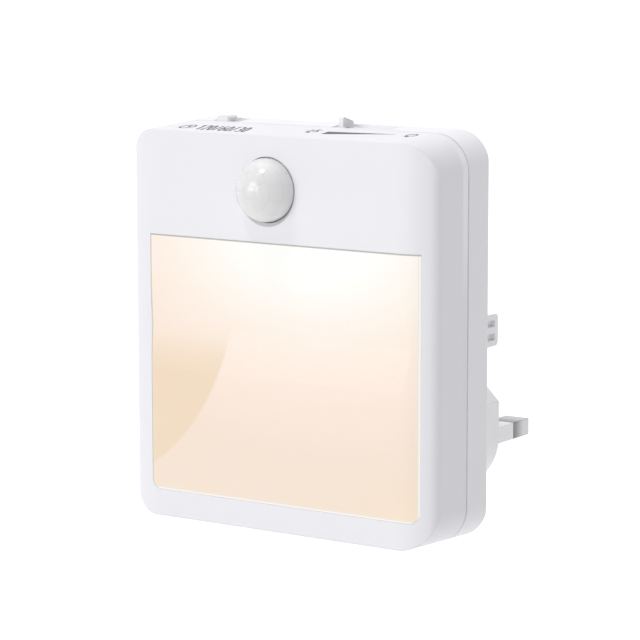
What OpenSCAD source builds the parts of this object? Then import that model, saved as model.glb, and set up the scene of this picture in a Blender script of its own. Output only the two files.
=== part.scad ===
// Plug-in stair light with a motion sensor, millimetres.
// The origin is on the plug face, midway between the line and neutral pins.
// +X is to the right as seen from the front, +Y goes into the wall, +Z is up.

/* [Case] */
// Width of the case
body_w = 87; // [86:0.5:94]
// Height of the case
body_h = 98; // [97:0.5:106]
// Depth of the case, front face to back face
body_d = 26.5; // [26:0.5:32]
// Depth of the back shell
back_shell_d = 10; // [9.9:0.1:11]
// Thickness of the case walls
wall = 2; // [1.8:0.1:2.4]
// Corner radius of the case, seen from the front
corner_r = 9; // [7:0.5:11]
// Large radius where the front begins to turn to the sides
blend_r = 13; // [11:0.5:15]
// Small radius that ends the turn to the sides
turn_r = 3.7; // [3.2:0.1:4.5]
// Angle at which the large radius gives way to the small one
blend_angle = 35; // [31:1:38]
// Radius of the top and bottom front edges
edge_r = 0.5; // [0.4:0.1:1.2]
// Radius of the edges round the back face
rear_r = 0.8; // [0.4:0.1:0.9]
// Angle at which the top and bottom slope in towards the front
draft = 2.8; // [0:0.2:3]
// Thickness of the lip by which the back shell laps into the front shell
lip_t = 0.9; // [0.7:0.1:1]
// Length of that lip
lip_l = 2; // [1.5:0.5:3]
// Width of the groove along the seam
seam_w = 0.5; // [0.3:0.1:0.8]
// Depth of the groove along the seam
seam_d = 0.4; // [0.2:0.1:0.6]

/* [Window] */
// Distance from the left side of the case to the light window
window_left = 7.2; // [5.5:0.1:10]
// Distance from the right side of the case to the light window
window_right = 3.3; // [3.2:0.1:10]
// Distance from the top of the case down to the light window
window_over = 26.9; // [26.4:0.1:30]
// Distance from the bottom of the case up to the light window
window_under = 8; // [7:0.1:10]
// Corner radius of the window's bottom corners
window_r = 2.6; // [1:0.2:4]
// Height by which the diffuser's flanges reach behind the shell
flange_reach = 1.4; // [1:0.1:1.5]
// Thickness of the diffuser's flanges
flange_t = 1; // [0.8:0.1:1.2]
// Distance from the sides of the window to the ends of the diffuser's flanges
flange_side = 12; // [11.5:0.1:18]

/* [Motion sensor] */
// Radius of the domed lens
dome_r = 7.6; // [7.4:0.1:8]
// Wall of the domed lens
dome_t = 0.7; // [0.5:0.1:0.9]
// Offset of the lens from the middle of the case, to the right
dome_x = -1.7; // [-4:0.1:4]
// Distance from the top of the case down to the middle of the lens
dome_drop = 14.3; // [13.9:0.1:14.5]
// Gap between the dome and the edge of its hole
dome_gap = 0.2; // [0.2:0.1:0.4]
// Depth at which the lens collar lies in its hole
collar_depth = 0.9; // [0.5:0.1:1.3]
// Thickness of the lens flange
lens_flange_t = 1; // [0.8:0.1:1.2]
// Thickness of the ring that holds the lens
lens_ring_t = 1.6; // [1.2:0.1:2]
// Radius of the sensor can
sensor_r = 4.55; // [4:0.05:4.6]
// Height of the sensor can
sensor_h = 4.2; // [3.6:0.1:4.4]
// Radius of the dusk sensor
dusk_r = 1; // [0.8:0.1:1]
// Length of the dusk sensor
dusk_l = 5; // [4:0.1:5.2]

/* [Top controls] */
// Distance from the back face to the middle of both control slots
slot_back = 5.9; // [5.9:0.1:6.2]
// Depth of the trays that the knobs run in
tray_depth = 0.8; // [0.5:0.1:1]
// Width of the slot that a knob's stem runs in
stem_slot_w = 1.6; // [1.5:0.1:2]
// Clearance at each end of a knob's travel
end_gap = 0.35; // [0.2:0.05:0.5]
// Gap between a knob and the floor of its tray
knob_lift = 0.2; // [0.1:0.05:0.3]
// Distance from the left side of the case to the middle of the timer tray
timer_side = 17.3; // [17:0.1:19.5]
// Travel between two settings of the timer
timer_step = 1.6; // [1.4:0.1:2]
// Width of the timer tray, front to back
timer_tray_w = 6.2; // [5.6:0.1:6.3]
// Length of the timer knob
timer_knob_l = 3.6; // [3.2:0.1:4.4]
// Width of the timer knob, front to back
timer_knob_w = 4.2; // [3.6:0.1:4.8]
// Height of the timer knob over the top of the case
timer_knob_h = 0.8; // [0.8:0.1:1.8]
// Distance from the right side of the case to the middle of the brightness tray
dimmer_side = 30.5; // [30:0.1:32.5]
// Travel of the brightness knob
dimmer_travel = 14.4; // [12:0.2:15]
// Travel left towards full brightness where the knob stands
dimmer_rest = 1.3; // [1:0.1:6]
// Width of the brightness tray, front to back
dimmer_tray_w = 6.2; // [5.6:0.1:6.3]
// Thickness of the brightness knob
dimmer_knob_t = 1.4; // [1.4:0.1:2]
// Width of the brightness knob, front to back
dimmer_knob_w = 4.6; // [4:0.1:4.8]
// Height of the brightness knob's front edge over the top of the case
dimmer_knob_h = 2; // [1.5:0.1:3]
// Fall of the brightness knob's top, front to back
dimmer_knob_fall = 1.2; // [0:0.1:1.5]

/* [Boards] */
// Distance from the front face to the main board
board_y = 11; // [10.5:0.1:11]
// Thickness of both boards
board_t = 1.6; // [1.2:0.1:1.6]
// Gap between the main board and the side walls of the case
board_side = 2.9; // [2.7:0.1:4.5]
// Distance from the side walls of the case to the main board's screws
standoff_side = 13.5; // [12:0.5:15]
// Distance from the main board's screws to its sides there
board_ear = 4; // [3.5:0.1:4.5]
// Distance from the top of the case down to the underside of the control board
control_drop = 9.6; // [9:0.1:9.6]
// Gap between the control board and the side walls of the case
control_side = 3.5; // [3:0.1:4.5]
// Thickness of the reflector frame's walls
reflector_t = 1.2; // [0.8:0.1:1.4]
// Number of columns of light chips
led_cols = 4; // [2:1:6]
// Number of rows of light chips
led_rows = 3; // [2:1:5]
// Distance between columns of light chips
led_step_x = 18; // [12:1:18]
// Distance between rows of light chips
led_step_z = 20; // [12:1:20]

/* [Plug] */
// Gap between the plug base and the line of the case's right side
plug_side = 0.9; // [0.9:0.1:27.1]
// Height of the line and neutral pins over the bottom of the case
plug_rise = 23.3; // [22:0.1:30]
// Height of the plug base over the back face
base_h = 8; // [7:0.1:9]
// Width of the plug base at the line and neutral pins
base_w = 32.8; // [32:0.1:33]
// Width of the plug base at the earth pin
neck_w = 16; // [14:0.5:20]
// Height from the pins down to the bottom of the plug base
base_drop = 12; // [11.5:0.1:14]
// Height from the pins up to the plug base's shoulders
shoulder_z = 9.2; // [8:0.1:10]
// Height from the pins up to the top of the plug base
base_rise = 29; // [28:0.5:32]
// Radius of the plug base's bottom corners
base_corner_r = 12; // [8:0.5:12]
// Step round the rim of the plug base
rim_step = 0.8; // [0.4:0.1:1.2]
// Distance from the plug's middle to the line pin and to the neutral pin
pin_pitch = 11.11; // [11.0:0.01:11.2]
// Distance from the line and neutral pins up to the earth pin
earth_pitch = 22.23; // [22.1:0.01:22.4]
// Width of a line or neutral pin
pin_w = 6.35; // [6.2:0.05:6.5]
// Thickness of a line or neutral pin
pin_t = 4; // [3.9:0.05:4.1]
// Length of a line or neutral pin from the plug face
pin_l = 17.7; // [17.2:0.1:18.2]
// Length of the sleeve on those pins
sleeve_l = 9.3; // [8:0.1:9.5]
// Wall of the sleeve
sleeve_t = 0.5; // [0.4:0.05:0.6]
// Depth to which the sleeve is let into the plug base
sleeve_seat = 2; // [1:0.5:3]
// Width of the earth pin
earth_w = 4; // [3.9:0.05:4.1]
// Height of the earth pin's section
earth_h = 8; // [7.8:0.05:8.1]
// Length of the earth pin from the plug face
earth_l = 22.73; // [22.2:0.1:23.2]
// Width of the grooves along the earth pin
groove_w = 1.65; // [1:0.05:1.8]
// Depth of the grooves along the earth pin
groove_d = 1.1; // [0.5:0.1:1.3]
// Radius at the tips of the pins
tip_r = 1.1; // [0.6:0.1:1.4]

/* [Screws] */
// Distance from the sides of the case to the upper case screws
post_side = 6; // [5.9:0.1:6.7]
// Distance from the top of the case down to the upper case screws
post_drop = 16; // [16:0.5:18]
// Distance from the sides of the case to the lower case screws
low_post_side = 11.5; // [10.5:0.5:12.5]
// Height of the lower case screws over the bottom of the case
low_post_rise = 4.3; // [4.2:0.05:4.4]
// Radius of the case screws' shanks
screw_r = 1.1; // [1:0.05:1.2]
// Radius of the case screws' heads
head_r = 2; // [1.8:0.1:2.1]
// Distance from the seam forward to where the posts meet
post_short = 1.5; // [1:0.1:2]
// Depth of the case screws' heads under the back face
head_sink = 6; // [5:0.1:6.5]

/* [Clearances] */
// Gap between mating plastic parts
fit_gap = 0.1; // [0.05:0.01:0.15]
// Gap round a part that slides
slide_gap = 0.3; // [0.2:0.05:0.4]
// Gap between a screw's shank and its hole
screw_gap = 0.05; // [0.03:0.01:0.1]

/* [Hidden] */
$fn = 48;

// Length by which a cut runs past a surface, so that it opens it cleanly
past = 1;
half_w = body_w / 2;
half_h = body_h / 2;
front_d = body_d - back_shell_d;
// Inner face of the back wall
back_in = body_d - wall;
// Inner faces of the side, top and bottom walls
side_in = half_w - wall;
top_in = half_h - wall;

// The turn from the front to the sides: two arcs that meet with one tangent
turn_w = (blend_r - turn_r) * sin(blend_angle) + turn_r;
blend_x = half_w - turn_w;
turn_cx = half_w - turn_r;
turn_cy = blend_r - (blend_r - turn_r) * cos(blend_angle);
inner_rear_r = 0.5;

// Centres of the arcs that round the rear and front edges of the sloping top
rear_y = body_d - rear_r;
rear_z = half_h - rear_r;
edge_z = rear_z - (rear_y - edge_r) * tan(draft) + (rear_r - edge_r) / cos(draft);

// Window and what lies behind it
window_w = body_w - window_left - window_right;
window_h = body_h - window_over - window_under;
window_x = (window_left - window_right) / 2;
window_z = (window_under - window_over) / 2;
window_top = half_h - window_over;
window_bottom = -half_h + window_under;
flange_w = window_w - 2 * flange_side;
flange_back = wall + flange_t;
flange_root = 1.2;
reflector_top = window_top + 0.7;
reflector_bottom = window_bottom + 0.1;
board_w = 2 * (side_in - board_side);
reflector_side = board_w / 2 - 0.2;

// Main board: wide behind the window, narrow above it
board_back = board_y + board_t;
board_bottom = window_bottom + 0.4;
board_left = -board_w / 2;
standoff_x = side_in - standoff_side;
board_top_w = 2 * (standoff_x + board_ear);
post_x = half_w - post_side;
post_z = half_h - post_drop;
board_step_z = post_z - 5;
control_z = half_h - control_drop;
board_top = control_z - 0.8;

// Lens parts
dome_z = half_h - dome_drop;
lens_hole_r = dome_r + dome_gap;
lens_collar_r = lens_hole_r - 0.15;
lens_flange_r = lens_hole_r + 1.2;
lens_in_r = dome_r - dome_t;
lens_rib_t = 1.1;
spacer_r = sensor_r + 0.6;
sensor_front = wall + lens_flange_t + 0.4;
sensor_back = sensor_front + sensor_h;
dusk_drop = spacer_r + dusk_r + 0.15;

// Control board and the parts on it
control_w = 2 * (side_in - control_side);
control_front = board_back + 0.2;
control_back = back_in - 0.3;
control_top = control_z + board_t;
shelf_w = 7;
shelf_h = 2.2;
shelf_d = 7;
control_screw_x = control_w / 2 - 1.8;
control_screw_y = back_in - 3.5;
control_screw_r = 0.85;
control_head_r = 1.5;
control_head_h = 1;
control_screw_l = 4;
under_top = 1;

// Knobs: heights of the tray floor and of a knob's underside
slot_y = body_d - slot_back;
timer_x = -half_w + timer_side;
dimmer_x = half_w - dimmer_side;
tray_floor = half_h - tray_depth;
knob_bottom = tray_floor + knob_lift;
timer_travel = 2 * timer_step;
timer_tray_l = timer_knob_l + timer_travel + 2 * end_gap;
timer_rest_x = timer_x - timer_travel / 2;
timer_stem_l = 2;
timer_stem_w = 1;
timer_foot_l = 6;
timer_foot_w = 2.6;
timer_body_w = 6;
dimmer_tray_l = dimmer_knob_t + dimmer_travel + 2 * end_gap;
dimmer_knob_x = dimmer_x - dimmer_travel / 2 + dimmer_rest;
dimmer_stem_l = 0.8;
dimmer_stem_w = 1;
dimmer_foot_l = 4;
dimmer_foot_w = 4;
dimmer_body_w = 7;
foot_h = 1.4;
body_roof = 1.1;
switch_top = top_in - under_top;
foot_top = switch_top - body_roof;
stem_sink = 0.7;

// Posts, standoffs and screws
post_r = 3;
back_post_r = 3.4;
low_post_r = 2.2;
low_post_x = half_w - low_post_side;
post_meet = front_d - post_short;
low_post_z = -half_h + low_post_rise;
pilot_r = screw_r + screw_gap;
screw_tip = 7;
head_h = 1.8;
head_y = body_d - head_sink;
POSTS = [[post_x, post_z, post_r], [-post_x, post_z, post_r],
         [low_post_x, low_post_z, low_post_r], [-low_post_x, low_post_z, low_post_r]];
standoff_z = window_top + flange_reach + 3.8;
standoff_r = 2.5;
board_screw_r = 1;
board_screw_tip = 6;
hook_x = 15;
hook_w = 4;
hook_t = 1.3;
hook_reach = 2;

// Plug
plug_x = half_w - plug_side - base_w / 2;
plug_z = -half_h + plug_rise;
face_y = body_d + base_h;
rim_h = 1.5;
neck_r = 3;
shoulder_run = (base_w - neck_w) / 2;
collar_t = 1.8;
collar_over = 0.5;
spigot_w = 2 * (pin_pitch + pin_w / 2) + 1.6;
spigot_h = 10;
spigot_front = back_in - 2.5;
core_w = pin_w - 2 * sleeve_t;
core_t = pin_t - 2 * sleeve_t;
tail_w = 3;
tail_t = 0.8;
tail_l = 3.6;
contact_t = 0.4;
contact_w = 2.4;
contact_l = 6.4;
contact_foot = 3.6;
earth_flange_t = 2;
earth_flange_over = 1;
earth_rib_t = 1;
plug_screw_r = 0.9;
plug_screw_l = 5;
plug_head_r = 1.9;
plug_head_h = 1.2;
PLUG_SCREWS = [-9, 12];

// Parts on the back of the main board: sizes, and places from its lower left corner
film_size = [18, 8, 13];
film_at = [4.6, 2.4];
can_r = 4;
can_l = 13;
can_at = [6.6, 27.4];
bridge_size = [4.9, 2.6, 4];
bridge_at = [28.6, 5.4];
resistor_r = 1.7;
resistor_l = 9;
resistor_lead = 2;
resistor_at = [32.6, 15.4];
varistor_r = 4;
varistor_t = 3.2;
varistor_at = [40.6, 7.4];
inductor_r = 3.6;
inductor_h = 8;
inductor_at = [30.6, 36.4];
regulator_size = [4.9, 1.6, 3.9];
regulator_at = [40.6, 43.4];
chip_size = [10, 1.5, 4];
chip_pins = 8;
chip_at = [12.6, 49.4];
header_size = [12, 2.6, 2.6];

// Moves parts drawn about the case into the plug's own frame
module in_case() {
    translate([-plug_x, -face_y, -plug_z]) children();
}

// Moves parts drawn about the plug's middle on the back face into the case
module at_plug() {
    translate([plug_x, 0, plug_z]) children();
}

// A box given by its lowest and highest corners
module span(low, high) {
    translate(low) cube(high - low);
}

// Extrudes an outline drawn in X and Z along Y
module along_y(y0, y1) {
    translate([0, y1, 0]) rotate([90, 0, 0]) linear_extrude(y1 - y0) children();
}

// A round bar along Y
module bar_y(x, z, r, y0, y1) {
    translate([x, y1, z]) rotate([90, 0, 0]) cylinder(r = r, h = y1 - y0);
}

// A rectangle centred on the origin with round corners
module round_rect(w, h, r) {
    square([w - 2 * r, h], center = true);
    square([w, h - 2 * r], center = true);
    for (x = [-1, 1], y = [-1, 1]) {
        translate([x * (w / 2 - r), y * (h / 2 - r)]) circle(r = r, $fn = 96);
    }
}

// Right half of the case's section in X and Y, drawn in by inset
module section_half(inset) {
    blend_end = blend_x + (blend_r - inset) * sin(blend_angle);
    back = body_d - inset;
    side = half_w - inset;
    r = inset > 0 ? inner_rear_r : rear_r;
    translate([0, inset]) square([blend_x, back - r - inset]);
    intersection() {
        translate([blend_x, blend_r]) circle(r = blend_r - inset, $fn = 128);
        translate([blend_x, 0]) square([blend_end - blend_x, blend_r]);
    }
    translate([turn_cx, turn_cy]) circle(r = turn_r - inset, $fn = 96);
    translate([0, turn_cy]) square([side, back - r - turn_cy]);
    translate([0, turn_cy]) square([side - r, back - turn_cy]);
    translate([side - r, back - r]) circle(r = r);
}

// The case's section in Y and Z, which rounds the top and bottom edges
module edge_section() {
    for (s = [-1, 1]) {
        polygon([[0, -s * past], [body_d, -s * past], [body_d, s * rear_z],
                 [rear_y - rear_r * sin(draft), s * (rear_z + rear_r * cos(draft))],
                 [edge_r - edge_r * sin(draft), s * (edge_z + edge_r * cos(draft))], [0, s * edge_z]]);
        translate([edge_r, s * edge_z]) circle(r = edge_r);
        translate([rear_y, s * rear_z]) circle(r = rear_r);
    }
}

// The upper half of the case's outline, extruded along the sloping top
module upper_half(inset) {
    w = half_w - inset;
    r = corner_r - inset;
    translate([0, rear_y, rear_z]) rotate([draft, 0, 0]) translate([0, 0, rear_r - inset]) {
        along_y(-body_d - past, rear_r + past) {
            translate([-w, -half_h - past]) square([2 * w, half_h + past - r]);
            translate([r - w, -2 * r]) square([2 * (w - r), 2 * r]);
            for (x = [-1, 1]) translate([x * (w - r), -r]) circle(r = r, $fn = 96);
        }
    }
}

// The whole case as one solid, or its hollow where inset is the wall
module case_solid(inset) {
    intersection() {
        union() {
            upper_half(inset);
            mirror([0, 0, 1]) upper_half(inset);
        }
        translate([0, 0, -half_h]) linear_extrude(body_h) {
            section_half(inset);
            mirror([1, 0]) section_half(inset);
        }
        if (inset == 0) {
            translate([-half_w, 0, 0]) rotate([90, 0, 90]) linear_extrude(body_w) edge_section();
        }
    }
}

// A slab across the whole case between two depths
module slab(y0, y1) {
    span([-half_w - past, y0, -half_h - past], [half_w + past, y1, half_h + past]);
}

// The window's outline, grown by grow: square top corners, round bottom corners
module window_outline(grow) {
    w = window_w + 2 * grow;
    h = window_h + 2 * grow;
    r = window_r + grow;
    translate([window_x, window_z]) {
        round_rect(w, h, r);
        translate([-w / 2, 0]) square([w, h / 2]);
    }
}

// One of the two hooks that hold the main board's lower edge
module board_hook(x) {
    low = board_bottom - 0.1;
    span([x - hook_w / 2, flange_back + 0.3, -top_in - past / 2],
         [x + hook_w / 2, board_back + 0.1 + hook_t, reflector_bottom - 0.3]);
    span([x - hook_w / 2, board_y + 0.1, reflector_bottom - past],
         [x + hook_w / 2, board_back + 0.1 + hook_t, low]);
    span([x - hook_w / 2, board_back + 0.1, low - past],
         [x + hook_w / 2, board_back + 0.1 + hook_t, board_bottom + hook_reach]);
}

module front_shell() in_case() color([0.93, 0.93, 0.95]) {
    difference() {
        union() {
            difference() {
                intersection() {
                    case_solid(0);
                    slab(-past, front_d);
                }
                case_solid(wall);
                intersection() {
                    case_solid(wall - lip_t - fit_gap);
                    slab(front_d - lip_l - fit_gap, front_d + past);
                }
            }
            intersection() {
                case_solid(wall / 2);
                union() {
                    for (p = POSTS) bar_y(p[0], p[1], p[2], 0, post_meet);
                    for (x = [-1, 1]) {
                        bar_y(x * standoff_x, standoff_z, standoff_r, 0, board_y);
                        board_hook(x * hook_x);
                    }
                    bar_y(dome_x, dome_z, lens_flange_r + fit_gap + lens_rib_t,
                          0, wall + lens_flange_t + lens_ring_t);
                }
            }
        }
        along_y(-past, 2 * wall) window_outline(0);
        bar_y(dome_x, dome_z, lens_hole_r, -past, wall + past);
        bar_y(dome_x, dome_z, lens_flange_r + fit_gap, wall, board_y);
        for (p = POSTS) bar_y(p[0], p[1], pilot_r, screw_tip - past, post_meet + past);
        for (x = [-1, 1]) {
            bar_y(x * standoff_x, standoff_z, board_screw_r + screw_gap,
                  board_screw_tip - past, board_y + past);
        }
    }
}

// A shelf that carries one end of the control board
module control_shelf(x) {
    inner = side_in - shelf_w;
    x0 = x < 0 ? -side_in - past / 2 : inner;
    x1 = x < 0 ? -inner : side_in + past / 2;
    span([x0, back_in - shelf_d, control_z - shelf_h], [x1, back_in + past / 2, control_z]);
}

// A shallow tray in the top with the slot that a stem runs in
module knob_tray(x, length, width, stem_l, travel) {
    slot_l = stem_l + travel + 2 * slide_gap;
    translate([x, slot_y, tray_floor]) linear_extrude(tray_depth + past) {
        round_rect(length, width, 0.6);
    }
    translate([x, slot_y, top_in - past]) linear_extrude(wall + past) {
        round_rect(slot_l, stem_slot_w, 0.3);
    }
}

module back_shell() in_case() color([0.9, 0.9, 0.92]) {
    difference() {
        union() {
            difference() {
                intersection() {
                    case_solid(0);
                    slab(front_d, body_d + past);
                }
                case_solid(wall);
                difference() {
                    slab(front_d - past, front_d + seam_w);
                    case_solid(seam_d);
                }
            }
            difference() {
                intersection() {
                    case_solid(wall - lip_t);
                    slab(front_d - lip_l, front_d + 2 * seam_w);
                }
                case_solid(wall);
            }
            intersection() {
                case_solid(wall / 2);
                union() {
                    for (p = POSTS) bar_y(p[0], p[1], back_post_r, post_meet, body_d);
                    for (x = [-1, 1]) control_shelf(x);
                    earth_socket();
                }
            }
        }
        for (p = POSTS) {
            bar_y(p[0], p[1], head_r + slide_gap, head_y, body_d + past);
            bar_y(p[0], p[1], pilot_r + slide_gap, post_meet - past, body_d);
        }
        for (x = [-1, 1]) {
            translate([x * control_screw_x, control_screw_y, control_z - control_screw_l]) {
                cylinder(r = control_screw_r + screw_gap, h = control_screw_l + past);
            }
        }
        at_plug() {
            span([-spigot_w / 2 - fit_gap, back_in - past, -spigot_h / 2 - fit_gap],
                 [spigot_w / 2 + fit_gap, body_d + past, spigot_h / 2 + fit_gap]);
            span([-earth_w / 2 - fit_gap, back_in - past, earth_pitch - earth_h / 2 - fit_gap],
                 [earth_w / 2 + fit_gap, body_d + past, earth_pitch + earth_h / 2 + fit_gap]);
            for (z = PLUG_SCREWS) bar_y(0, z, plug_screw_r + screw_gap, back_in - past, body_d + past);
        }
        knob_tray(timer_x, timer_tray_l, timer_tray_w, timer_stem_l, timer_travel);
        knob_tray(dimmer_x, dimmer_tray_l, dimmer_tray_w, dimmer_stem_l, dimmer_travel);
    }
}

// A low wall inside the back shell round the earth pin's flange
module earth_socket() {
    w = earth_w / 2 + earth_flange_over + fit_gap;
    h = earth_h / 2 + earth_flange_over + fit_gap;
    at_plug() difference() {
        span([-w - earth_rib_t, back_in - earth_flange_t, earth_pitch - h - earth_rib_t],
             [w + earth_rib_t, back_in + past / 2, earth_pitch + h + earth_rib_t]);
        span([-w, back_in - earth_flange_t - past, earth_pitch - h],
             [w, back_in, earth_pitch + h]);
    }
}

module diffuser() in_case() color([1, 0.95, 0.87]) {
    intersection() {
        difference() {
            case_solid(0);
            case_solid(wall);
        }
        along_y(-past, 2 * wall) window_outline(-fit_gap);
    }
    for (z = [-1, 1]) {
        edge = window_z + z * window_h / 2;
        out = edge + z * flange_reach;
        in = edge - z * flange_root;
        tucked = edge - z * fit_gap;
        x0 = window_x - flange_w / 2;
        x1 = window_x + flange_w / 2;
        span([x0, wall, min(out, in)], [x1, flange_back, max(out, in)]);
        span([x0, wall / 2, min(tucked, in)], [x1, flange_back, max(tucked, in)]);
    }
}

module reflector_frame() in_case() color([0.97, 0.97, 0.97]) {
    difference() {
        span([-reflector_side, flange_back, reflector_bottom], [reflector_side, board_y, reflector_top]);
        span([-reflector_side + reflector_t, flange_back - past, reflector_bottom + reflector_t],
             [reflector_side - reflector_t, board_y + past, reflector_top - reflector_t]);
    }
}

module main_board() in_case() color([0.95, 0.95, 0.93]) {
    difference() {
        union() {
            span([-board_w / 2, board_y, board_bottom], [board_w / 2, board_back, board_step_z]);
            span([-board_top_w / 2, board_y, board_step_z - past], [board_top_w / 2, board_back, board_top]);
        }
        for (x = [-1, 1]) {
            bar_y(x * standoff_x, standoff_z, board_screw_r + 0.2, board_y - past, board_back + past);
        }
    }
}

module led_chips() in_case() {
    chip = [3.5, 0.9, 2.8];
    for (i = [0:led_cols - 1], j = [0:led_rows - 1]) {
        x = (i - (led_cols - 1) / 2) * led_step_x;
        z = window_z + (j - (led_rows - 1) / 2) * led_step_z;
        translate([x - chip[0] / 2, board_y - chip[1], z - chip[2] / 2]) {
            color([1, 0.85, 0.4]) cube(chip);
        }
    }
}

module pir_lens() in_case() color([0.9, 0.9, 0.9, 0.9]) {
    flange_y = wall + lens_flange_t;
    translate([dome_x, 0, dome_z]) rotate([-90, 0, 0]) rotate_extrude($fn = 96) difference() {
        union() {
            intersection() {
                circle(r = dome_r, $fn = 96);
                translate([0, -dome_r]) square([dome_r, dome_r]);
            }
            square([dome_r, flange_y]);
            translate([0, collar_depth]) square([lens_collar_r, flange_y - collar_depth]);
            translate([0, wall]) square([lens_flange_r, lens_flange_t]);
        }
        circle(r = lens_in_r, $fn = 96);
        square([lens_in_r, flange_y + past]);
    }
}

module lens_ring() in_case() color([0.95, 0.95, 0.95]) {
    y0 = wall + lens_flange_t;
    difference() {
        bar_y(dome_x, dome_z, lens_flange_r, y0, y0 + lens_ring_t);
        bar_y(dome_x, dome_z, lens_in_r, y0 - past, y0 + lens_ring_t + past);
    }
}

module pir_sensor() in_case() {
    eye_w = 3;
    eye_h = 4;
    eye_t = 0.2;
    color([0.72, 0.73, 0.74]) {
        difference() {
            bar_y(dome_x, dome_z, sensor_r, sensor_front, sensor_back);
            span([dome_x - eye_w / 2, sensor_front - past, dome_z - eye_h / 2],
                 [dome_x + eye_w / 2, sensor_front + eye_t, dome_z + eye_h / 2]);
        }
        bar_y(dome_x, dome_z, spacer_r - 0.1, sensor_back - 0.4, sensor_back);
    }
}

module sensor_spacer() in_case() color([0.15, 0.15, 0.16]) {
    bar_y(dome_x, dome_z, spacer_r, sensor_back, board_y);
}

module dusk_sensor() in_case() color([0.25, 0.24, 0.23]) {
    tip = board_y - dusk_l;
    bar_y(dome_x, dome_z - dusk_drop, dusk_r, tip, board_y);
}

module control_board() in_case() color([0.12, 0.4, 0.2]) {
    difference() {
        span([-control_w / 2, control_front, control_z], [control_w / 2, control_back, control_top]);
        for (x = [-1, 1]) {
            translate([x * control_screw_x, control_screw_y, control_z - past]) {
                cylinder(r = control_screw_r + 0.2, h = board_t + 2 * past);
            }
        }
    }
}

module control_board_screws() in_case() color([0.7, 0.7, 0.72]) {
    for (x = [-1, 1]) translate([x * control_screw_x, control_screw_y, 0]) {
        translate([0, 0, control_top]) cylinder(r = control_head_r, h = control_head_h);
        translate([0, 0, control_z - control_screw_l + 1]) {
            cylinder(r = control_screw_r, h = control_screw_l - 1 + board_t);
        }
    }
}

// A low housing on the control board with a channel for a sliding foot
module slide_housing(x, width, foot_l, foot_w, stem_l, stem_w, travel) {
    channel_l = foot_l + travel + 2 * end_gap;
    half_l = channel_l / 2 + 2;
    mouth_l = stem_l + travel + 2 * slide_gap;
    difference() {
        span([x - half_l, slot_y - width / 2, control_top], [x + half_l, slot_y + width / 2, switch_top]);
        span([x - channel_l / 2, slot_y - foot_w / 2 - slide_gap, foot_top - foot_h - slide_gap],
             [x + channel_l / 2, slot_y + foot_w / 2 + slide_gap, foot_top]);
        span([x - mouth_l / 2, slot_y - stem_w / 2 - slide_gap, foot_top - past],
             [x + mouth_l / 2, slot_y + stem_w / 2 + slide_gap, switch_top + past]);
    }
}

// The foot that slides in a housing, with the stem that carries its knob
module slide_foot(x, foot_l, foot_w, stem_l, stem_w, stem_top) {
    span([x - foot_l / 2, slot_y - foot_w / 2, foot_top - foot_h - slide_gap + 0.1],
         [x + foot_l / 2, slot_y + foot_w / 2, foot_top - 0.1]);
    span([x - stem_l / 2, slot_y - stem_w / 2, foot_top - past],
         [x + stem_l / 2, slot_y + stem_w / 2, stem_top]);
}

// The blind hole in a knob's underside that takes its stem
module stem_socket(x, stem_l, stem_w) {
    grip = 0.02;
    span([x - stem_l / 2 - grip, slot_y - stem_w / 2 - grip, knob_bottom - past],
         [x + stem_l / 2 + grip, slot_y + stem_w / 2 + grip, knob_bottom + stem_sink]);
}

module timer_switch() in_case() color([0.75, 0.75, 0.77]) {
    slide_housing(timer_x, timer_body_w, timer_foot_l, timer_foot_w, timer_stem_l, timer_stem_w,
                  timer_travel);
}

module timer_slider() in_case() color([0.95, 0.95, 0.95]) {
    slide_foot(timer_rest_x, timer_foot_l, timer_foot_w, timer_stem_l, timer_stem_w,
               knob_bottom + stem_sink - 0.1);
}

module timer_knob() in_case() color([0.9, 0.9, 0.9]) {
    bevel = 0.5;
    w = timer_knob_l / 2;
    top = half_h + timer_knob_h;
    difference() {
        intersection() {
            translate([timer_rest_x, slot_y, knob_bottom]) linear_extrude(top - knob_bottom) {
                round_rect(timer_knob_l, timer_knob_w, 0.5);
            }
            translate([timer_rest_x, 0, 0]) {
                along_y(slot_y - timer_knob_w / 2, slot_y + timer_knob_w / 2) {
                    polygon([[-w, knob_bottom], [w, knob_bottom], [w, top - bevel], [w - bevel, top],
                             [bevel - w, top], [-w, top - bevel]]);
                }
            }
        }
        stem_socket(timer_rest_x, timer_stem_l, timer_stem_w);
    }
}

module brightness_pot() in_case() color([0.93, 0.93, 0.93]) {
    slide_housing(dimmer_x, dimmer_body_w, dimmer_foot_l, dimmer_foot_w, dimmer_stem_l, dimmer_stem_w,
                  dimmer_travel);
}

module brightness_wiper() in_case() color([0.3, 0.3, 0.32]) {
    slide_foot(dimmer_knob_x, dimmer_foot_l, dimmer_foot_w, dimmer_stem_l, dimmer_stem_w,
               knob_bottom + stem_sink - 0.1);
}

module brightness_knob() in_case() color([0.95, 0.95, 0.96]) {
    w = dimmer_knob_w / 2;
    top = half_h + dimmer_knob_h;
    r = 0.5;
    difference() {
        translate([dimmer_knob_x - dimmer_knob_t / 2, slot_y, 0]) rotate([90, 0, 90]) {
            linear_extrude(dimmer_knob_t) {
                polygon([[-w, knob_bottom], [w, knob_bottom], [w, top - dimmer_knob_fall],
                         [-w + r, top], [-w, top - r]]);
            }
        }
        stem_socket(dimmer_knob_x, dimmer_stem_l, dimmer_stem_w);
    }
}

// Moves a part to its place on the main board's back face
module on_board(at) {
    translate([board_left + at[0], board_back, board_bottom + at[1]]) children();
}

module link_header() in_case() color([0.12, 0.12, 0.13]) {
    translate([-header_size[0], board_back, control_z - header_size[2]]) cube(header_size);
}

module film_capacitor() in_case() color([0.85, 0.75, 0.2]) {
    on_board(film_at) cube(film_size);
}

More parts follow.
